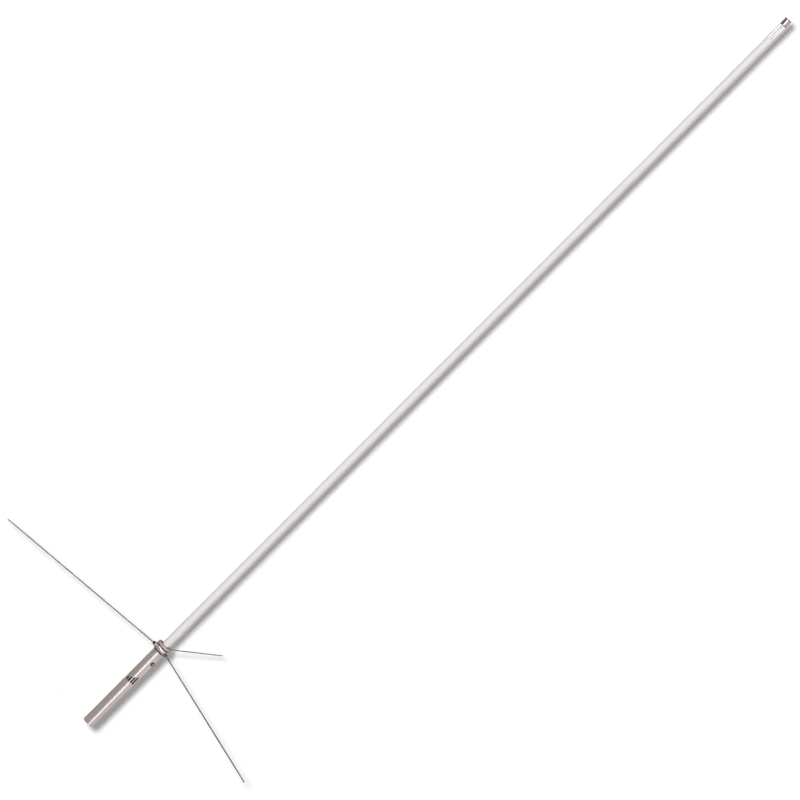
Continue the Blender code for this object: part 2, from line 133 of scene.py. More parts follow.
class Look(Graph):
    """A Principled material under construction, with short ways to feed it from textures."""

    def __init__(self, name, colour, roughness, metallic=0.0, **constants):
        self.material = bpy.data.materials.new(name)
        self.material.use_nodes = True
        super().__init__(self.material.node_tree)
        self.shader = self.nodes["Principled BSDF"]
        self.position = self.nodes.new("ShaderNodeTexCoord").outputs["Object"]
        self.normal = None
        self.shader.inputs["Base Color"].default_value = (*colour, 1)
        self.shader.inputs["Roughness"].default_value = roughness
        self.shader.inputs["Metallic"].default_value = metallic
        for socket, value in constants.items():
            self.shader.inputs[socket.replace("_", " ")].default_value = value

    def feed(self, socket, value):
        self.put(self.shader.inputs[socket], value)

    def stretched(self, stretch):
        mapping = self.nodes.new("ShaderNodeMapping")
        mapping.inputs["Scale"].default_value = stretch
        self.links.new(self.position, mapping.inputs["Vector"])
        return mapping.outputs["Vector"]

    def noise(self, per_metre, stretch=(1, 1, 1), detail=4.0):
        """Noise in the piece's own axes; a small third stretch value draws it out along the axis."""
        texture = self.nodes.new("ShaderNodeTexNoise")
        texture.inputs["Scale"].default_value = per_metre
        texture.inputs["Detail"].default_value = detail
        self.links.new(self.stretched(stretch), texture.inputs["Vector"])
        return texture.outputs["Fac"]

    def cells(self, per_metre, stretch=(1, 1, 1)):
        """Distance to the middle of the nearest cell, for foam, grit and pits."""
        texture = self.nodes.new("ShaderNodeTexVoronoi")
        texture.inputs["Scale"].default_value = per_metre
        self.links.new(self.stretched(stretch), texture.inputs["Vector"])
        return texture.outputs["Distance"]

    def spread(self, value, low, high, start=0.3, end=0.7):
        """A texture's values from start to end, laid over the range from low to high."""
        node = self.nodes.new("ShaderNodeMapRange")
        limits = {"From Min": start, "From Max": end, "To Min": low, "To Max": high}
        for socket, number in limits.items():
            node.inputs[socket].default_value = number
        self.links.new(value, node.inputs["Value"])
        return node.outputs["Result"]

    def edges(self, start=0.52, end=0.60):
        """1 on outer edges, where plating and finish wear first, and 0 elsewhere."""
        geometry = self.nodes.new("ShaderNodeNewGeometry")
        return self.spread(geometry.outputs["Pointiness"], 0.0, 1.0, start, end)

    def bump(self, value, depth, strength=1.0):
        """Relief of that depth in metres, laid over any relief given before."""
        node = self.nodes.new("ShaderNodeBump")
        node.inputs["Distance"].default_value = depth
        node.inputs["Strength"].default_value = strength
        self.links.new(value, node.inputs["Height"])
        if self.normal:
            self.links.new(self.normal, node.inputs["Normal"])
        self.normal = node.outputs["Normal"]
        self.feed("Normal", self.normal)


LENGTHWISE = (1, 1, 0.02)            # stretch that draws noise into lines along the axis
ROUNDABOUT = (0.06, 0.06, 1)         # stretch that draws noise into turning marks around it


def make_metal(slot, dark, light, worn, roughness, marks=ROUNDABOUT):
    """A bare or plated metal: cloudy tone, fine marks from working it, and worn bright edges."""
    look = Look(slot, light, sum(roughness) / 2, metallic=1.0)
    cloud = look.noise(28, detail=5)
    lines = look.noise(2200, marks, detail=3)
    tone = look.tint(look.spread(cloud, 0, 1), dark, light)
    look.feed("Base Color", look.tint(look.edges(), tone, worn))
    look.feed("Roughness", look.spread(lines, *roughness))
    look.bump(lines, 0.012 * MM, 0.5)
    look.bump(cloud, 0.03 * MM, 0.12)
    LOOKS[slot] = look.material


def make_satin_steel():
    """Drawn stainless tube: lengthwise satin lines, faint warm blotches, brighter rubbed edges."""
    look = Look("satin_steel", (0.56, 0.51, 0.50), 0.24, metallic=0.58)
    blotch = look.noise(11, (1, 1, 0.35), detail=5)
    lines = look.noise(1500, LENGTHWISE, detail=3)
    scuffs = look.spread(look.noise(90, (1, 1, 0.5), detail=7), 0, 1, 0.58, 0.78)
    tone = look.colours(blotch, (0.28, (0.455, 0.42, 0.385)), (0.52, (0.515, 0.465, 0.455)),
                        (0.74, (0.55, 0.50, 0.505)))
    worn = look.tint(look.edges(0.51, 0.57), tone, (0.74, 0.72, 0.70))
    look.feed("Base Color", look.tint(look.spread(lines, 0, 0.3), worn, (0.60, 0.56, 0.54)))
    look.feed("Roughness", look.tint(scuffs, look.spread(lines, 0.17, 0.24), (0.33, 0.33, 0.33)))
    look.bump(lines, 0.02 * MM, 0.5)
    look.bump(blotch, 0.10 * MM, 0.15)
    LOOKS["satin_steel"] = look.material


def make_chrome():
    """Bright plating over a casting: nearly mirror-like, with a faint swell and fine pits."""
    look = Look("chrome_plate", (0.74, 0.70, 0.69), 0.06, metallic=1.0)
    swell = look.noise(160, detail=2)
    haze = look.noise(520, detail=6)
    pits = look.spread(look.cells(900), 1, 0, 0.02, 0.10)
    tone = look.tint(look.spread(haze, 0, 1), (0.70, 0.655, 0.65), (0.78, 0.745, 0.73))
    look.feed("Base Color", look.tint(pits, tone, (0.42, 0.38, 0.36)))
    look.feed("Roughness", look.spread(haze, 0.04, 0.12))
    look.bump(swell, 0.06 * MM, 0.10)
    look.bump(haze, 0.006 * MM, 0.25)
    LOOKS["chrome_plate"] = look.material


def make_hub_plating():
    """The hub's plating: polished barrel, satin collar, and painted shade, nearly black, in a band over the groove
    and a band at the foot just above the pipe.
    """
    look = Look("hub_plating", (0.74, 0.70, 0.69), 0.14, metallic=0.7)
    height = look.nodes.new("ShaderNodeSeparateXYZ")
    look.links.new(look.position, height.inputs["Vector"])
    height = height.outputs["Z"]
    low, high = BARREL_END[1], COLLAR_LOW
    collar = look.spread(height, 0, 1, high - 0.1 * MM, high + 0.1 * MM)
    in_groove = look.spread(height, 0, 1, low - 1.3 * MM, low - 0.9 * MM)
    above_groove = look.spread(height, 1, 0, high + 0.4 * MM, high + 0.8 * MM)
    _, pipe_top, _, _ = extent("support_pipe")
    below_belly = look.spread(height, 1, 0, pipe_top + 2.8 * MM, pipe_top + 3.6 * MM)
    above_pipe = look.spread(height, 0, 1, pipe_top - 0.2 * MM, pipe_top + 0.2 * MM)
    swell = look.noise(160, detail=2)
    turning = look.noise(1800, ROUNDABOUT, detail=3)
    haze = look.noise(520, detail=6)
    pits = look.spread(look.cells(900), 1, 0, 0.02, 0.10)
    polished = look.tint(look.spread(haze, 0, 1), (0.70, 0.655, 0.65), (0.78, 0.745, 0.73))
    tone = look.tint(collar, polished, (0.47, 0.405, 0.41))
    tone = look.tint(pits, tone, (0.42, 0.38, 0.36))
    # Painted shade: the colour goes nearly black in a band a little wider than the groove, and in a band at the
    # barrel's foot just above the pipe
    painted_shade = look.tint(above_groove, (0, 0, 0), in_groove)
    shade_at_foot = look.tint(below_belly, (0, 0, 0), above_pipe)
    painted_shade = look.tint(shade_at_foot, painted_shade, (1, 1, 1))
    look.feed("Base Color", look.tint(painted_shade, tone, (0.035, 0.028, 0.025)))
    look.feed("Metallic", look.spread(collar, 0.66, 0.35, 0, 1))
    polish, satin = look.spread(haze, 0.13, 0.21), look.spread(turning, 0.36, 0.48)
    look.feed("Roughness", look.tint(collar, polish, satin))
    look.bump(swell, 0.06 * MM, 0.10)
    look.bump(turning, 0.012 * MM, 0.3)
    LOOKS["hub_plating"] = look.material


def make_fibreglass():
    """Gel-coated fibreglass tube: off-white, with glass rovings just visible along it."""
    look = Look("radome_fibreglass", (0.74, 0.70, 0.705), 0.5, Coat_Weight=0.08, Coat_Roughness=0.3,
                Specular_IOR_Level=0.3)
    rovings = look.noise(900, (1, 1, 0.012), detail=5)
    cloud = look.noise(16, (1, 1, 0.25), detail=4)
    specks = look.spread(look.noise(2600, (1, 1, 0.3), detail=2), 0, 1, 0.68, 0.80)
    tone = look.colours(cloud, (0.30, (0.640, 0.605, 0.605)), (0.55, (0.665, 0.620, 0.630)),
                        (0.75, (0.680, 0.638, 0.645)))
    grained = look.tint(look.spread(rovings, 0, 0.5), tone, (0.69, 0.665, 0.66))
    look.feed("Base Color", look.tint(specks, grained, (0.58, 0.54, 0.52)))
    look.feed("Roughness", look.spread(rovings, 0.46, 0.60))
    look.bump(rovings, 0.03 * MM, 0.6)
    look.bump(cloud, 0.05 * MM, 0.2)
    LOOKS["radome_fibreglass"] = look.material


def make_gloss_sleeve():
    """Shrunk-on glossy sleeve: white, drawn tight into fine lengthwise lines, with painted shade and painted
    reflections of those lines as grey and white streaks in its colour.
    """
    look = Look("gloss_sleeve", (0.80, 0.77, 0.77), 0.12, Coat_Weight=0.3, Coat_Roughness=0.05)
    lines = look.noise(420, (1, 1, 0.03), detail=4)
    cloud = look.noise(120, detail=3)
    # Painted shade and painted reflection: grey and near-white lengthwise streaks in the colour, for how the
    # wrinkles catch the light
    tone = look.colours(lines, (0.40, (0.38, 0.355, 0.355)), (0.50, (0.80, 0.775, 0.775)),
                        (0.60, (0.93, 0.91, 0.91)))
    look.feed("Base Color", tone)
    look.feed("Roughness", look.spread(cloud, 0.06, 0.16))
    look.bump(lines, 0.05 * MM, 0.6)
    LOOKS["gloss_sleeve"] = look.material


def make_plastic(slot, dark, light, roughness, grain=3200, relief=0.015, marks=(1, 1, 1)):
    """A matte moulded or turned material: cloudy tone and a fine grain."""
    look = Look(slot, light, roughness)
    cloud = look.noise(60, detail=4)
    fine = look.noise(grain, marks, detail=2)
    look.feed("Base Color", look.tint(look.spread(cloud, 0, 1), dark, light))
    look.feed("Roughness", look.spread(fine, roughness - 0.07, roughness + 0.07))
    look.bump(fine, relief * MM, 0.6)
    LOOKS[slot] = look.material


def make_rubber():
    """Black rubber with a dusty bloom and moulding grain."""
    look = Look("black_rubber", (0.022, 0.021, 0.020), 0.62)
    bloom = look.noise(240, detail=6)
    fine = look.noise(4200, detail=2)
    tone = look.colours(bloom, (0.35, (0.018, 0.017, 0.016)), (0.60, (0.030, 0.028, 0.027)),
                        (0.85, (0.075, 0.070, 0.066)))
    look.feed("Base Color", tone)
    look.feed("Roughness", look.spread(bloom, 0.52, 0.74))
    look.bump(fine, 0.03 * MM, 0.5)
    LOOKS["black_rubber"] = look.material


def make_foam():
    """Closed-cell foam: white, soft, with open cells where it was cut."""
    look = Look("white_foam", (0.88, 0.88, 0.86), 0.92)
    cells = look.cells(1500)
    shade = look.spread(cells, 0, 1, 0.1, 0.8)
    look.feed("Base Color", look.tint(shade, (0.70, 0.70, 0.67), (0.92, 0.92, 0.90)))
    look.feed("Roughness", look.spread(cells, 0.98, 0.84, 0.1, 0.8))
    look.bump(cells, 0.25 * MM, 0.8)
    LOOKS["white_foam"] = look.material


def make_ink():
    """Printed black ink, matt and a little uneven in its cover."""
    look = Look("print_ink", (0.018, 0.015, 0.014), 0.6, Specular_IOR_Level=0.25)
    cover = look.noise(2400, detail=5)
    tone = look.colours(cover, (0.25, (0.012, 0.010, 0.010)), (0.70, (0.030, 0.026, 0.024)),
                        (0.90, (0.085, 0.075, 0.070)))
    look.feed("Base Color", tone)
    look.feed("Roughness", look.spread(cover, 0.52, 0.70))
    look.bump(cover, 0.01 * MM, 0.5)
    LOOKS["print_ink"] = look.material


def make_looks():
    make_satin_steel()
    make_chrome()
    make_hub_plating()
    make_metal("stainless_steel", dark=(0.46, 0.445, 0.43), light=(0.56, 0.545, 0.53),
               worn=(0.74, 0.73, 0.72), roughness=(0.22, 0.34))
    make_metal("blackened_steel", dark=(0.10, 0.085, 0.08), light=(0.17, 0.15, 0.145),
               worn=(0.42, 0.40, 0.39), roughness=(0.26, 0.38))
    make_metal("nickel_plate", dark=(0.60, 0.565, 0.50), light=(0.68, 0.645, 0.585),
               worn=(0.80, 0.77, 0.72), roughness=(0.16, 0.28))
    make_metal("brass", dark=(0.60, 0.44, 0.19), light=(0.74, 0.56, 0.27),
               worn=(0.84, 0.68, 0.38), roughness=(0.24, 0.38))
    make_metal("copper", dark=(0.70, 0.33, 0.20), light=(0.84, 0.46, 0.30),
               worn=(0.92, 0.58, 0.42), roughness=(0.22, 0.36), marks=(1, 1, 1))
    make_fibreglass()
    make_gloss_sleeve()
    make_plastic("white_insulator", (0.82, 0.81, 0.77), (0.90, 0.89, 0.86), 0.45, marks=ROUNDABOUT)
    make_plastic("ceramic", (0.46, 0.34, 0.21), (0.60, 0.46, 0.31), 0.38, grain=1400, relief=0.03)
    make_rubber()
    make_foam()
    make_ink()


# ---------------------------------------------------------------- mesh tools

def axis_of(joint):
    """The placement whose local Z runs along a joint's axis, from the joint's own point."""
    facts = JOINTS[joint]
    turn = Vector(facts["axis"]).to_track_quat("Z", "Y").to_matrix().to_4x4()
    return Matrix.Translation(Vector(facts.get("pos_m") or (0, 0, 0))) @ turn


def extent(node, place=UPRIGHT):
    """(low, high, inner radius, outer radius) of a CAD node about a placement's Z axis."""
    into = place.inverted()
    points = [into @ v.co for v in frame["nodes"][node].data.vertices]
    heights = [p.z for p in points]
    radii = [hypot(p.x, p.y) for p in points]
    return min(heights), max(heights), min(radii), max(radii)


def rounded(corners, steps=4):
    """Points through (radius, height, fillet) corners, each corner eased by its fillet."""
    points = []
    for k, (r, z, *fillet) in enumerate(corners):
        here = Vector((r, z))
        if not fillet:
            points.append((r, z))
            continue
        back = Vector(corners[k - 1][:2]) - here
        on = Vector(corners[(k + 1) % len(corners)][:2]) - here
        start = here + back.normalized() * min(fillet[0], 0.49 * back.length)
        end = here + on.normalized() * min(fillet[0], 0.49 * on.length)
        for step in range(steps + 1):
            t = step / steps
            eased = (1 - t) ** 2 * start + 2 * t * (1 - t) * here + t ** 2 * end
            points.append((eased.x, eased.y))
    return points


def bulge(start, middle, end, steps):
    """Points of the curve from start to end that passes through middle half way."""
    a, m, b = Vector(start), Vector(middle), Vector(end)
    handle = 2 * m - (a + b) / 2
    points = []
    for k in range(steps + 1):
        t = k / steps
        p = (1 - t) ** 2 * a + 2 * t * (1 - t) * handle + t ** 2 * b
        points.append((p.x, p.y))
    return points


def ring(inner, outer, low, high, ease):
    """The outline of a plain ring with eased edges."""
    return rounded([(inner, low, ease), (outer, low, ease), (outer, high, ease), (inner, high, ease)])


def rows(radius, low, high, spacing):
    """Evenly spaced points straight up an outline, so that a shape can be cut into it."""
    count = max(2, round((high - low) / spacing))
    return [(radius, low + (high - low) * k / count) for k in range(count + 1)]


def lathe(outline, sides, shape=None):
    """A bmesh turned about Z from (radius, height) points. Points on the axis become poles.

    shape(radius, height, angle) gives the radius where it isn't simply round.
    """
    bm = bmesh.new()
    rings = []
    for r, z in outline:
        if r < 1e-6:
            rings.append([bm.verts.new((0, 0, z))])
            continue
        circle = []
        for k in range(sides):
            a = tau * k / sides
            reach = shape(r, z, a) if shape else r
            circle.append(bm.verts.new((reach * cos(a), reach * sin(a), z)))
        rings.append(circle)
    pairs = list(zip(rings, rings[1:]))
    if len(rings[0]) > 1:
        pairs.append((rings[-1], rings[0]))
    for first, second in pairs:
        for k in range(sides):
            n = (k + 1) % sides
            if len(first) == 1:
                bm.faces.new((first[0], second[n], second[k]))
            elif len(second) == 1:
                bm.faces.new((first[k], first[n], second[0]))
            else:
                bm.faces.new((first[k], first[n], second[n], second[k]))
    return bm


def sweep(path, section, bm=None):
    """A closed shape: section, a list of (outward, upward) points, carried along the path's
    (centre, outward, upward) stations. It goes into a bmesh of its own or into one given."""
    bm = bm or bmesh.new()
    rings = [[bm.verts.new(centre + u * outward + v * upward) for u, v in section]
             for centre, outward, upward in path]
    count = len(section)
    for first, second in zip(rings, rings[1:]):
        for k in range(count):
            n = (k + 1) % count
            bm.faces.new((first[k], first[n], second[n], second[k]))
    bm.faces.new(rings[0])
    bm.faces.new(rings[-1])
    return bm


def thread(crest, low, high, pitch, depth):
    """A lathe shape: a right-hand thread cut into the stretch of that radius, fading at its ends."""
    def shape(r, z, a):
        if abs(r - crest) > 1e-6 or not low <= z <= high:
            return r
        groove = 1 - abs(2 * ((z / pitch - a / tau) % 1) - 1)
        fade = min(1, (z - low) / pitch, (high - z) / pitch)
        return r - depth * groove * fade
    return shape


def flutes(crest, count, depth):
    """A lathe shape: small flutes along the axis around the stretch of that radius."""
    def shape(r, z, a):
        if abs(r - crest) > 1e-6:
            return r
        return r - depth * abs(2 * ((a * count / tau) % 1) - 1)
    return shape


def block(x, y, z):
    """A bmesh of a box, from its (low, high) ranges along each axis."""
    bm = bmesh.new()
    bmesh.ops.create_cube(bm, size=1)
    for v in bm.verts:
        v.co = [low + (high - low) * (part + 0.5) for part, (low, high) in zip(v.co, (x, y, z))]
    return bm


def link(name, bm, look, place=UPRIGHT):
    """An object from a finished bmesh, with one material, at its placement."""
    bmesh.ops.recalc_face_normals(bm, faces=bm.faces)
    mesh = bpy.data.meshes.new(name)
    bm.to_mesh(mesh)
    bm.free()
    mesh.materials.append(look)
    made = bpy.data.objects.new(name, mesh)
    bpy.context.scene.collection.objects.link(made)
    made.matrix_world = place
    return made


def carve(target, tool, operation="DIFFERENCE"):
    """Cut the tool out of the target, or join it on, for good."""
    step = target.modifiers.new("carve", "BOOLEAN")
    step.operation = operation
    step.solver = "EXACT"
    step.object = tool
    bpy.context.view_layer.update()
    evaluated = target.evaluated_get(bpy.context.evaluated_depsgraph_get())
    carved = bpy.data.meshes.new_from_object(evaluated)
    target.modifiers.clear()
    target.data = carved
    bpy.data.objects.remove(tool)


def settle(made, node, crease=32):
    """Smooth a finished piece up to its creases, and hang it on its CAD node's body."""
    made.data.shade_smooth()
    made.data.set_sharp_from_angle(angle=radians(crease))
    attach(made, BODY_OF[node])
    return made


def piece(node, bm, place=UPRIGHT, crease=32, look=None):
    """The fine piece that stands for one CAD node, from a bmesh in the placement's axes."""
    made = settle(link(f"{node}_detail", bm, LOOKS[look or SLOT_OF[node]], place), node, crease=crease)
    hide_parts(node)
    return made


# ---------------------------------------------------------------- pipe and lock screw

def make_support_pipe(screw):
    """Drawn tube with eased ends, and the hole that the clinch nut sits in."""
    low, high, _, outer = extent("support_pipe")
    pipe = link("support_pipe_detail", lathe(ring(PIPE_BORE, outer, low, high, 0.7 * MM), 128),
                LOOKS["satin_steel"])
    wall = outer - PIPE_BORE
    hole_radius = CLINCH_SHANK + GAP
    hole_start, hole_end = outer - 2 * wall, outer + wall
    hole = lathe([(0, hole_start), (hole_radius, hole_start), (hole_radius, hole_end), (0, hole_end)], 48)
    carve(pipe, link("hole", hole, LOOKS["satin_steel"], screw))
    settle(pipe, "support_pipe")
    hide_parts("support_pipe")


def make_clinch_nut(screw):
    """The pressed-in nut: a round flange inside the pipe and a fluted shank in its wall."""
    foot, top, bore, body = extent("clinch_nut", screw)
    shoulder = sqrt(PIPE_BORE ** 2 - body ** 2) - GAP
    outline = rounded([(bore, foot, 0.4 * MM), (body, foot, 0.5 * MM), (body, shoulder, 0.2 * MM),
                       (CLINCH_SHANK, shoulder), (CLINCH_SHANK, top, 0.2 * MM), (bore, top, 0.3 * MM)])
    piece("clinch_nut", lathe(outline, 96, flutes(CLINCH_SHANK, 24, 0.25 * MM)), screw)


def make_lock_screw(screw):
    """M6 pan-head screw with a driver slot and a cut thread, and the rubber washer under it."""
    tip, head_top, _, head = extent("lock_screw", screw)
    washer_low, washer_high, washer_bore, washer_outer = extent("screw_washer", screw)
    head_low = washer_high + GAP
    point = 0.9 * MM
    crown = 1.1 * MM
    thread_low, thread_high = tip + point, head_low - 0.6 * MM
    outline = [(0, tip), (M6_RADIUS - point, tip), *rows(M6_RADIUS, thread_low, thread_high, M6_PITCH / 7),
               *rounded([(M6_RADIUS, head_low - 0.2 * MM), (M6_RADIUS, head_low, 0.15 * MM),
                         (head, head_low, 0.25 * MM), (head, head_top - crown, 0.9 * MM),
                         (head - 1.4 * MM, head_top, 0.9 * MM), (0, head_top)])]
    cut = thread(M6_RADIUS, thread_low, thread_high, M6_PITCH, 0.5 * MM)
    body = link("lock_screw_detail", lathe(outline, 48, cut), LOOKS["stainless_steel"], screw)
    slot_width, slot_depth, past = 1.4 * MM, 1.2 * MM, 2 * MM
    cutter = block((-slot_width / 2, slot_width / 2), (-head - past, head + past),
                   (head_top - slot_depth, head_top + past))
    carve(body, link("slot", cutter, LOOKS["stainless_steel"], screw))
    settle(body, "lock_screw")
    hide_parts("lock_screw")
    outline = ring(washer_bore, washer_outer, washer_low, washer_high, 0.4 * MM)
    piece("screw_washer", lathe(outline, 64), screw)


def make_printed_mark():
    """A plain printed sign on the front of the pipe: four bars, each taller than the last."""
    _, _, _, outer = extent("support_pipe")
    proud, sunk = 0.05 * MM, 0.03 * MM
    low, high = 155 * MM, 179 * MM
    across, columns = 13 * MM, 10
    count, gap = 4, 2.6 * MM
    width = (2 * across - (count - 1) * gap) / count
    mark = bmesh.new()
    for bar in range(count):
        start = -across + bar * (width + gap)
        end = start + width
        top = low + (high - low) * (0.4 + 0.6 * bar / (count - 1))
        path = []
        for k in range(columns + 1):
            bearing = radians(270) + (start + (end - start) * k / columns) / outer
            outward = Vector((cos(bearing), sin(bearing), 0))
            path.append((outer * outward, outward, Vector((0, 0, 1))))
        sweep(path, [(-sunk, low), (proud, low), (proud, top), (-sunk, top)], mark)
    settle(link("printed_mark", mark, LOOKS["print_ink"]), "support_pipe")


# ---------------------------------------------------------------- hub and radials

BARREL_FOOT = 17.8 * MM
BARREL_BELLY = (21 * MM, 271 * MM)   # (radius, height) half way up the barrel's rounding
BARREL_END = (20 * MM, 278.6 * MM)
GROOVE_RADIUS = 19.5 * MM
GROOVE_TOP = 279.5 * MM
COLLAR_RADIUS = 20.6 * MM
COLLAR_LOW = 279.8 * MM
SEAL_RECESS_RADIUS = 12.2 * MM
SEAL_RECESS_DEPTH = 1.6 * MM
SOCKET_RADIUS = 10.2 * MM
SOCKET_FLOOR = 237 * MM
FEED_BORE = 6.6 * MM
SPIGOT_RADIUS = 13.6 * MM
KEYWAY_FLOOR = 9.6 * MM
KEYWAY_TOP = 235.2 * MM
KEYWAY_HALF_WIDTH = 5.6 * MM
BOSS_RADIUS = 5.5 * MM
BOSS_START = 13 * MM
RADIAL_HOLE_FLOOR = 12.4 * MM


def make_hub(radials):
    """The plated casting: eased barrel, groove and collar, flared bosses, holes and keyway."""
    low, high, _, _ = extent("hub")
    _, pipe_top, _, _ = extent("support_pipe")
    washer_foot, _, _, _ = extent("radial_washer_1", radials[0])
    _, _, _, rod_crest = extent("radial_rod_1", radials[0])
    shoulder = pipe_top + GAP
    chamfer, rim = 1 * MM, 1.2 * MM
    recess_floor = high - SEAL_RECESS_DEPTH
    outline = rounded([(FEED_BORE, low, 0.5 * MM), (SPIGOT_RADIUS - chamfer, low, 0.3 * MM),
                       (SPIGOT_RADIUS, low + chamfer, 0.3 * MM), (SPIGOT_RADIUS, shoulder),
                       (BARREL_FOOT, shoulder)])
    outline += bulge((BARREL_FOOT + 0.3 * MM, shoulder + 0.2 * MM), BARREL_BELLY, BARREL_END, 22)
    outline += rounded([BARREL_END, (GROOVE_RADIUS, BARREL_END[1] + 0.3 * MM, 0.2 * MM),
                        (GROOVE_RADIUS, GROOVE_TOP, 0.2 * MM), (COLLAR_RADIUS, COLLAR_LOW, 0.25 * MM),
                        (COLLAR_RADIUS, high - rim, 0.6 * MM), (COLLAR_RADIUS - rim, high, 0.6 * MM),
                        (SEAL_RECESS_RADIUS, high, 0.3 * MM), (SEAL_RECESS_RADIUS, recess_floor, 0.2 * MM),
                        (SOCKET_RADIUS, recess_floor, 0.2 * MM), (SOCKET_RADIUS, SOCKET_FLOOR, 0.3 * MM),
                        (FEED_BORE, SOCKET_FLOOR, 0.3 * MM)])[1:]
    hub = link("hub_detail", lathe(outline, 144), LOOKS["hub_plating"])
    boss_end = washer_foot - GAP
    flare = 6.8 * MM
    boss = rounded([(0, BOSS_START), (flare, BOSS_START), (flare, boss_end - 5 * MM, 0.5 * MM),
                    (BOSS_RADIUS, boss_end - 3 * MM, 1.2 * MM), (BOSS_RADIUS, boss_end, 0.6 * MM),
                    (0, boss_end)])
    for radial in radials:
        carve(hub, link("boss", lathe(boss, 64), LOOKS["hub_plating"], radial), "UNION")
    hole_radius = rod_crest + GAP
    lead_in = 0.5 * MM
    past = 5 * MM
    hole = [(0, RADIAL_HOLE_FLOOR), (hole_radius, RADIAL_HOLE_FLOOR), (hole_radius, boss_end - lead_in),
            (hole_radius + lead_in, boss_end), (hole_radius + lead_in + past, boss_end + past),
            (0, boss_end + past)]
    for radial in radials:
        carve(hub, link("hole", lathe(hole, 40), LOOKS["hub_plating"], radial))
    keyway = block((KEYWAY_FLOOR, SPIGOT_RADIUS + past), (-KEYWAY_HALF_WIDTH, KEYWAY_HALF_WIDTH),
                   (low - past, KEYWAY_TOP))
    facing = Vector(JOINTS["lock_screw_turn"]["axis"]).xy
    turn = Matrix.Rotation(-Vector((1, 0)).angle_signed(facing), 4, "Z")
    carve(hub, link("keyway", keyway, LOOKS["hub_plating"], turn))
    settle(hub, "hub")
    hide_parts("hub")


def hex_nut(across_flats, bore, low, high):
    """A hexagon nut whose corners are turned off at both ends and whose bore is eased."""
    half = across_flats / 2
    steps = [0, 0.12 * MM, 0.24 * MM, 0.36 * MM, 0.5 * MM]
    side = [(half, low + step) for step in steps] + [(half, high - step) for step in reversed(steps)]
    ease = 0.35 * MM
    outline = [(bore, low + ease), (bore + ease, low), *side, (bore + ease, high), (bore, high - ease)]

    def shape(r, z, a):
        if r != half:
            return r
        flat = half / cos(a % (pi / 3) - pi / 6)
        turned_off = half - 0.1 * MM + sqrt(3) * min(z - low, high - z)
        return min(flat, max(half * 0.97, turned_off))
    return lathe(outline, 72, shape)


def spring_washer(bore, outer, low, high):
    """A split spring washer: a square ring, cut through, its ends sprung slightly apart."""
    gap = radians(9)
    stations = 60
    middle = (bore + outer) / 2
    half_width, half_height = (outer - bore) / 2, (high - low) / 2 - 0.04 * MM
    ease = 0.12 * MM
    signs = ((-1, -1), (1, -1), (1, 1), (-1, 1))
    section = rounded([(across * half_width, up * half_height, ease) for across, up in signs], 2)
    rise = 0.3 * MM
    path = []
    for k in range(stations + 1):
        share = k / stations
        a = gap / 2 + (tau - gap) * share
        outward = Vector((cos(a), sin(a), 0))
        height = (low + high) / 2 + rise * (share - 0.5)
        path.append((middle * outward + Vector((0, 0, height)), outward, Vector((0, 0, 1))))
    return sweep(path, section)


def make_radial(number, axis):
    """One ground-plane radial: threaded rod with a rounded tip, lock nut and spring washer."""
    start, tip, _, crest = extent(f"radial_rod_{number}", axis)
    rod, shoulder_low, shoulder_high = 1.45 * MM, 30 * MM, 31 * MM
    ease = 0.6 * MM
    outline = [(0, start), (crest - ease, start), *rows(crest, start + ease, shoulder_low, M5_PITCH / 7),
               (rod + 0.15 * MM, shoulder_high - 0.15 * MM), (rod, shoulder_high + 0.2 * MM),
               *rows(rod, shoulder_high + 4 * MM, tip - rod, 45 * MM)]
    outline += [(rod * cos(a), tip - rod + rod * sin(a)) for a in (pi / 2 * k / 6 for k in range(1, 6))]
    outline.append((0, tip))
    shape = thread(crest, start + ease, shoulder_low, M5_PITCH, 0.45 * MM)
    piece(f"radial_rod_{number}", lathe(outline, 32, shape), axis)
    low, high, bore, corner = extent(f"radial_nut_{number}", axis)
    nut = hex_nut(corner * sqrt(3), bore, low, high)
    piece(f"radial_nut_{number}", nut, axis, crease=25, look="blackened_steel")
    low, high, bore, outer = extent(f"radial_washer_{number}", axis)
    washer = spring_washer(bore, outer, low, high)
    piece(f"radial_washer_{number}", washer, axis, look="blackened_steel")


# ---------------------------------------------------------------- radome, sleeve and cap

def make_radome():
    """The slim fibreglass tube, tapering a little above its foot, and the O-ring around it."""
    low, high, _, foot = extent("radome")
    _, hub_top, _, _ = extent("hub")
    slim, wall, taper_end = 9.2 * MM, 1.6 * MM, 800 * MM
    spacing = 40 * MM
    ease = 0.3 * MM
    taper_start = hub_top + 12 * MM
    taper = []
    for k in range(15):
        t = k / 14
        eased = 3 * t * t - 2 * t ** 3
        taper.append((foot + (slim - foot) * eased, taper_start + (taper_end - taper_start) * t))
    outside = [(foot - ease, low), (foot, low + ease), *rows(foot, low + 2 * ease, hub_top, spacing),
               *taper, *rows(slim, taper_end + spacing, high - 2 * ease, spacing), (slim, high - ease),
               (slim - ease, high)]
    inside = [(slim - wall, high), (slim - wall, taper_end), (foot - wall, taper_start), (foot - wall, low)]
    piece("radome", lathe(outside + inside, 96))
    low, high, inner, outer = extent("radome_seal")
    section = [((inner + outer) / 2 + (outer - inner) / 2 * cos(tau * k / 16),
                (low + high) / 2 + (high - low) / 2 * sin(tau * k / 16)) for k in range(16)]
    piece("radome_seal", lathe(section, 96))


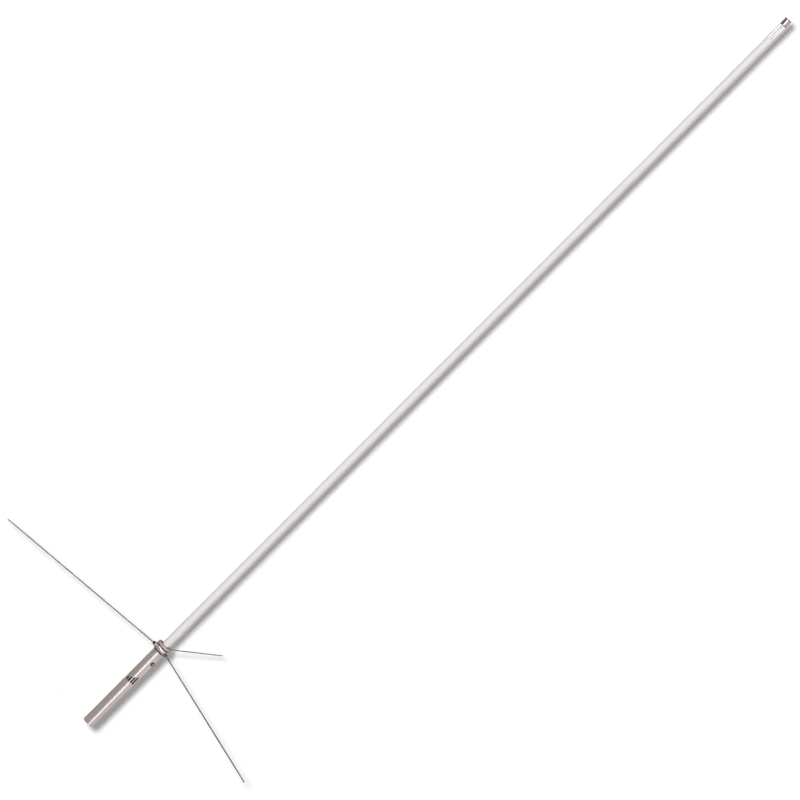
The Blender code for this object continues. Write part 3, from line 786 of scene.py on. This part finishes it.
def make_tip():
    """The shrunk sleeve with its fine lengthwise wrinkles, the cap's gasket, and the cap."""
    low, high, inner, outer = extent("tip_sleeve")
    wrinkle = 0.12 * MM

    def drawn(r, z, a):
        if r < outer - 1e-6:
            return r
        wave = sin(11 * a + 14 * sin(38 * z)) + 0.7 * sin(17 * a + 2 + 9 * sin(61 * z)) + 0.5 * sin(9 * a)
        return r - wrinkle * (wave + 2.2) / 4.4
    lip = 0.12 * MM
    outline = [(inner, low), (outer - lip, low), *rows(outer, low + lip, high - lip, 1.5 * MM),
               (outer - lip, high), (inner, high)]
    piece("tip_sleeve", lathe(outline, 240, drawn), crease=50)
    low, high, inner, outer = extent("cap_gasket")
    piece("cap_gasket", lathe(ring(inner, outer, low, high, 0.35 * MM), 64))
    foot, top, _, cap = extent("top_cap")
    shoulder = high + GAP
    plug, hollow, ceiling = inner - 0.4 * MM, 5.4 * MM, shoulder + 12 * MM
    groove, rim = 0.35 * MM, 1.6 * MM
    groove_low = shoulder + rim
    dish, sunk = cap - 3.2 * MM, 0.25 * MM
    outline = rounded([(0, ceiling), (hollow, ceiling, 0.8 * MM), (hollow, foot, 0.3 * MM),
                       (plug, foot, 0.8 * MM), (plug, shoulder, 0.1 * MM), (cap, shoulder, 0.3 * MM),
                       (cap, groove_low, 0.1 * MM), (cap - groove, groove_low + groove, 0.1 * MM),
                       (cap, groove_low + 2 * groove, 0.1 * MM), (cap, top, 1.4 * MM),
                       (dish, top, 0.4 * MM), (dish - 0.4 * MM, top - sunk, 0.3 * MM), (0, top - sunk)], 6)
    piece("top_cap", lathe(outline, 128))


# ---------------------------------------------------------------- cable socket and feed

def make_socket():
    """The threaded cable socket, mouth down, with its insulator, contact and washer."""
    mouth, neck_top, neck_bore, flange = extent("coax_connector")
    washer_low, washer_high, washer_bore, washer_outer = extent("connector_washer")
    barrel, relief, bore, neck = 7.8 * MM, 7 * MM, 5.6 * MM, 6.3 * MM
    flange_low, flange_high = 190.3 * MM, washer_low - GAP
    bore_top = 192 * MM
    ease = 0.5 * MM
    barrel_low, barrel_high = mouth + ease, flange_low - 1.4 * MM
    neck_low, neck_high = flange_high + 0.6 * MM, neck_top - ease
    outline = [(bore + ease, mouth), (barrel - ease, mouth),
               *rows(barrel, barrel_low, barrel_high, SOCKET_PITCH / 8),
               *rounded([(relief, barrel_high + 0.5 * MM, 0.2 * MM), (relief, flange_low, 0.2 * MM),
                         (flange, flange_low, 0.4 * MM), (flange, flange_high, 0.4 * MM),
                         (neck, flange_high, 0.2 * MM)]),
               *rows(neck, neck_low, neck_high, SOCKET_PITCH / 8), (neck - ease, neck_top),
               (neck_bore, neck_top), (neck_bore, bore_top), (bore, bore_top), (bore, mouth + ease)]
    cuts = (thread(barrel, barrel_low, barrel_high, SOCKET_PITCH, 0.55 * MM),
            thread(neck, neck_low, neck_high, SOCKET_PITCH, 0.5 * MM), flutes(flange, 32, 0.22 * MM))

    def worked(r, z, a):
        for cut in cuts:
            r = cut(r, z, a)
        return r
    piece("coax_connector", lathe(outline, 96, worked))
    piece("connector_washer", spring_washer(washer_bore, washer_outer, washer_low, washer_high))
    low, high, inner, outer = extent("connector_insulator")
    narrow, shoulder = neck_bore - GAP, bore_top - GAP
    face, ease = low + 0.5 * MM, 0.3 * MM
    outline = rounded([(inner, low, ease), (inner + 1 * MM, low, ease), (inner + 1.4 * MM, face, ease),
                       (outer - 0.8 * MM, face, ease), (outer, low + 0.9 * MM, ease),
                       (outer, shoulder, ease), (narrow, shoulder), (narrow, high, ease),
                       (inner, high, ease)])
    piece("connector_insulator", lathe(outline, 64))
    make_contact()


def make_contact():
    """The socket's spring contact: a slit sleeve at its mouth and a waist above."""
    low, high, _, outer = extent("connector_contact")
    hole, hole_floor = 2 * MM, 189 * MM
    waist, waist_low, waist_high = outer - 0.3 * MM, hole_floor + 1.4 * MM, high - 2 * MM
    outline = rounded([(0, hole_floor), (hole, hole_floor, 0.4 * MM), (hole, low + 1.2 * MM, 0.4 * MM),
                       (hole + 0.2 * MM, low, 0.2 * MM), (outer, low, 0.3 * MM),
                       (outer, waist_low - 0.4 * MM, 0.2 * MM), (waist, waist_low, 0.2 * MM),
                       (waist, waist_high, 0.2 * MM), (outer, waist_high + 0.4 * MM, 0.2 * MM),
                       (outer, high, 0.3 * MM), (0, high)])
    contact = link("connector_contact_detail", lathe(outline, 48), LOOKS["brass"])
    slit_width, slit_length, past = 0.4 * MM, 9 * MM, 1 * MM
    for turn in (0, pi / 2):
        slit = block((-slit_width / 2, slit_width / 2), (-1.5 * outer, 1.5 * outer),
                     (low - past, low - past + slit_length))
        carve(contact, link("slit", slit, LOOKS["brass"], Matrix.Rotation(turn, 4, "Z")))
    settle(contact, "connector_contact")
    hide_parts("connector_contact")


def make_feed():
    """The insulating bush, waisted where it is gripped, and the feed rod through it."""
    low, high, inner, outer = extent("feed_bush")
    ease, waist = 0.5 * MM, outer - 0.5 * MM
    outline = rounded([(inner, low, ease), (outer, low, ease), (outer, low + 3 * MM, 0.2 * MM),
                       (waist, low + 3.4 * MM, 0.2 * MM), (waist, high - 3.4 * MM, 0.2 * MM),
                       (outer, high - 3 * MM, 0.2 * MM), (outer, high, ease), (inner, high, ease)])
    piece("feed_bush", lathe(outline, 64))
    slim_rod("feed_rod", sides=32)


# ---------------------------------------------------------------- radiator inside the radome

def slim_rod(node, sides=24):
    """A round rod with eased ends and a soldered collar at each."""
    low, high, _, outer = extent(node)
    ease, collar, inset = 0.3 * MM, 3 * MM, 0.12 * MM
    slim = outer - inset
    outline = rounded([(0, low), (outer, low, ease), (outer, low + collar, 0.1 * MM),
                       (slim, low + collar + inset, 0.1 * MM)])
    outline += rows(slim, low + 3 * collar, high - 3 * collar, 45 * MM)
    outline += rounded([(slim, high - collar - inset, 0.1 * MM), (outer, high - collar, 0.1 * MM),
                        (outer, high, ease), (0, high)])
    piece(node, lathe(outline, sides))


def make_former(former, coil):
    """A turned former with a helical seat for its coil, and the coil's fine wire on it."""
    low, high, _, outer = extent(former)
    bottom, top, _, outside = extent(coil)
    wire = 0.6 * MM
    major = outside - wire
    seat = major - wire
    turns = 8 if coil == "matching_coil" else 6
    pitch = (top - bottom - 2 * wire) / turns
    ease = 0.5 * MM
    groove_low, groove_high = bottom - 1 * MM, top + 1 * MM
    outline = [*rounded([(0, low), (outer, low, ease), (outer, groove_low - 0.4 * MM, 0.1 * MM)]),
               *rows(seat, groove_low, groove_high, pitch / 10),
               *rounded([(outer, groove_high + 0.4 * MM, 0.1 * MM), (outer, high, ease), (0, high)])]
    seat_shape = thread(seat, groove_low, groove_high, pitch, 0.3 * MM)
    piece(former, lathe(outline, 40, seat_shape), crease=50)
    steps, sides = 36, 10
    climb = pitch / tau
    path = []
    for k in range(turns * steps + 1):
        a = tau * k / steps
        outward = Vector((cos(a), sin(a), 0))
        along = Vector((-major * sin(a), major * cos(a), climb)).normalized()
        centre = major * outward + Vector((0, 0, bottom + wire + climb * a))
        path.append((centre, outward, along.cross(outward)))
    section = [(wire * cos(tau * k / sides), wire * sin(tau * k / sides)) for k in range(sides)]
    piece(coil, sweep(path, section), crease=60)


def make_radiator():
    """Matching section, radiating rods, phasing coils on formers, and the capacitor."""
    make_former("matching_former", "matching_coil")
    low, high, _, outer = extent("matching_capacitor")
    ease, band = 1 * MM, 1.4 * MM
    slim = outer - 0.2 * MM
    outline = rounded([(0, low), (outer, low, ease), (outer, low + band, 0.1 * MM),
                       (slim, low + band, 0.1 * MM), (slim, high - band, 0.1 * MM),
                       (outer, high - band, 0.1 * MM), (outer, high, ease), (0, high)])
    piece("matching_capacitor", lathe(outline, 48))
    for number in range(1, 4):
        make_former(f"phasing_former_{number}", f"phasing_coil_{number}")
    for number in range(1, 5):
        slim_rod(f"radiator_{number}")


def make_spacers():
    """Foam discs with softly cut edges and a slightly uneven side."""
    for number in range(1, 7):
        node = f"foam_spacer_{number}"
        low, high, inner, outer = extent(node)
        ease = 0.8 * MM

        def cut(r, z, a, edge=outer, shift=number):
            if r < edge - 1e-6:
                return r
            return r - 0.12 * MM * (1 + sin(5 * a + shift) * cos(700 * z + shift))
        outline = [(inner, low + ease / 2), (inner + ease / 2, low), (outer - ease, low),
                   (outer - ease / 4, low + ease / 4), *rows(outer, low + ease, high - ease, 1.5 * MM),
                   (outer - ease / 4, high - ease / 4), (outer - ease, high), (inner + ease / 2, high),
                   (inner, high - ease / 2)]
        piece(node, lathe(outline, 48, cut), crease=60)


# ---------------------------------------------------------------- camera, stage and light

ELEVATION = radians(8.97)            # the camera looks down on the antenna by this much
ROLL = radians(44.89)
DISTANCE = 14.0
LENS = 249.84
AIM = Vector((0, 0, sum(corner[2] for corner in cad_bounds) / 2))
LEVEL = Vector((1, 0, 0))
FORWARD = Vector((0, cos(ELEVATION), -sin(ELEVATION)))
UP = Vector((0, sin(ELEVATION), cos(ELEVATION)))
RIGHT_ROLLED = cos(ROLL) * LEVEL + sin(ROLL) * UP
UP_ROLLED = -sin(ROLL) * LEVEL + cos(ROLL) * UP


def make_camera():
    """A long lens, turned so that the antenna lies across the frame from corner to corner."""
    data = bpy.data.cameras.new("camera")
    data.sensor_width = 36
    data.lens = LENS
    data.clip_end = 200
    camera = bpy.data.objects.new("camera", data)
    bpy.context.scene.collection.objects.link(camera)
    left, down = 0.0845, 0.0602      # of the antenna's middle, so that it sits a little off centre
    place = AIM - left * RIGHT_ROLLED - down * UP_ROLLED - DISTANCE * FORWARD
    turn = Matrix((RIGHT_ROLLED, UP_ROLLED, -FORWARD)).transposed().to_4x4()
    camera.matrix_world = Matrix.Translation(place) @ turn
    bpy.context.scene.camera = camera
    return camera


def stage_look(name, glow):
    """Pale matt paint that can be seen from its front only, with a soft glow of its own."""
    look = Look(name, (0.93, 0.93, 0.93), 1.0, Specular_IOR_Level=0.0, Emission_Color=(1, 1, 1, 1),
                Emission_Strength=glow)
    clear = look.nodes.new("ShaderNodeBsdfTransparent")
    side = look.nodes.new("ShaderNodeNewGeometry")
    paint = look.choose(side.outputs["Backfacing"], look.shader.outputs["BSDF"], clear.outputs["BSDF"])
    look.put(look.nodes["Material Output"].inputs["Surface"], paint)
    return look


def even_out(look, glow, centre, key_distance, key_share):
    """Let the paint glow more away from the centre, by as much as the key light fades there."""
    away = look.nodes.new("ShaderNodeVectorMath")
    away.operation = "DISTANCE"
    look.put(away.inputs[0], look.position)
    look.put(away.inputs[1], centre)
    slope = look.math("DIVIDE", away.outputs["Value"], key_distance)
    kept = look.math("POWER", look.math("ADD", look.math("MULTIPLY", slope, slope), 1.0), -1.5)
    lost = look.math("MULTIPLY", look.math("SUBTRACT", 1.0, kept), key_share)
    look.feed("Emission Strength", look.math("ADD", lost, glow))


def make_sheet(name, corners, look):
    """One flat, one-sided sheet of the stage."""
    bm = bmesh.new()
    bm.faces.new([bm.verts.new(corner) for corner in corners])
    mesh = bpy.data.meshes.new(name)
    bm.to_mesh(mesh)
    bm.free()
    mesh.materials.append(look.material)
    made = bpy.data.objects.new(name, mesh)
    bpy.context.scene.collection.objects.link(made)
    made.visible_glossy = False
    return made


def make_stage():
    """A pale floor below the antenna and a pale wall behind it, which takes its shadow."""
    floor_height = -0.45
    reach, top = 60.0, 12.0
    wall_y = 1.8
    floor_glow, wall_glow = 0.62, 0.035
    key_distance, key_share = 15.6, 0.67    # from the wall, and of the wall's brightness
    wall_look = stage_look("wall_paint", wall_glow)
    even_out(wall_look, wall_glow, (0, wall_y, 0.9), key_distance, key_share)
    make_sheet("wall", [(-reach, wall_y, floor_height), (reach, wall_y, floor_height),
                        (reach, wall_y, top), (-reach, wall_y, top)], wall_look)
    floor = make_sheet("floor", [(-reach, -reach, floor_height), (reach, -reach, floor_height),
                                 (reach, reach, floor_height), (-reach, reach, floor_height)],
                       stage_look("floor_paint", floor_glow))
    floor.visible_diffuse = False


def make_key(camera):
    """The key light, beside the camera, whose shadow falls to the lower right on the wall."""
    data = bpy.data.lights.new("key", "POINT")
    left, up = 0.102, 0.117          # of the camera
    data.energy = 7700
    data.shadow_soft_size = 0.078
    key = bpy.data.objects.new("key", data)
    bpy.context.scene.collection.objects.link(key)
    key.location = camera.matrix_world.translation - left * RIGHT_ROLLED + up * UP_ROLLED
    key.visible_glossy = False


LEAN = 1.8                           # radians that the mirrored bands turn by, for each unit of height
UPRIGHT_HEIGHT = -0.066              # where they stand at the bearings given for them


def make_world():
    """Studio surroundings: white to look at, even for fill, banded where metal mirrors them."""
    world = bpy.data.worlds.new("studio")
    bpy.context.scene.world = world
    world.use_nodes = True
    world.node_tree.nodes.clear()
    graph = Graph(world.node_tree)
    split = graph.nodes.new("ShaderNodeSeparateXYZ")
    graph.put(split.inputs["Vector"], graph.nodes.new("ShaderNodeTexCoord").outputs["Generated"])
    x, y, z = split.outputs
    around = graph.math("ARCTAN2", x, graph.math("MULTIPLY", y, -1.0))
    lean = graph.math("MULTIPLY", graph.math("SUBTRACT", z, UPRIGHT_HEIGHT), LEAN)
    turn = graph.math("ADD", graph.math("DIVIDE", graph.math("ADD", around, lean), tau), 0.5)
    dark, rear, grey = (0.028, 0.025, 0.025), (0.052, 0.048, 0.047), (0.094, 0.081, 0.084)
    bright, strip = (0.132, 0.121, 0.119), (0.74, 0.71, 0.68)
    bearings = ((-180, rear), (-115, rear), (-95, dark), (-26, dark), (-16, bright), (-9, bright),
                (-6, strip), (3, strip), (7, bright), (30, bright), (44, grey), (150, grey), (170, rear))
    bands = graph.colours(turn, *((0.5 + degrees / 360, colour) for degrees, colour in bearings))
    upward = graph.math("ADD", graph.math("MULTIPLY", z, 0.5), 0.5)
    heights = graph.colours(upward, (0.0, (0.05, 0.05, 0.05)), (0.24, (0.08, 0.075, 0.075)),
                            (0.33, (1, 1, 1)), (0.62, (1, 1, 1)), (0.70, (0.10, 0.095, 0.095)),
                            (1.0, (0.30, 0.30, 0.30)))
    sideways = graph.math("ADD", graph.math("MULTIPLY", x, 0.5), 0.5)
    sides = graph.colours(sideways, (0.0, (0.48, 0.48, 0.47)), (0.42, (0.16, 0.16, 0.16)),
                          (0.58, (0.16, 0.16, 0.16)), (1.0, (0.84, 0.79, 0.80)))
    gloss = graph.background(graph.tint(1.0, bands, heights, "MULTIPLY"), 6.5)
    fill = graph.background(sides, 1.0)
    white = graph.background((1, 1, 1), 1.05)
    ray = graph.nodes.new("ShaderNodeLightPath")
    lit = graph.choose(ray.outputs["Is Glossy Ray"], fill, gloss)
    seen = graph.choose(ray.outputs["Is Camera Ray"], lit, white)
    output = graph.nodes.new("ShaderNodeOutputWorld")
    graph.put(output.inputs["Surface"], seen)


def main():
    make_looks()
    screw = axis_of("lock_screw_turn")
    radials = [axis_of(f"radial_{number}_turn") for number in range(1, 4)]
    make_support_pipe(screw)
    make_clinch_nut(screw)
    make_lock_screw(screw)
    make_printed_mark()
    make_hub(radials)
    for number, axis in enumerate(radials, 1):
        make_radial(number, axis)
    make_radome()
    make_tip()
    make_socket()
    make_feed()
    make_radiator()
    make_spacers()
    camera = make_camera()
    make_stage()
    make_key(camera)
    make_world()
    bpy.context.scene.view_settings.view_transform = "Standard"


main()
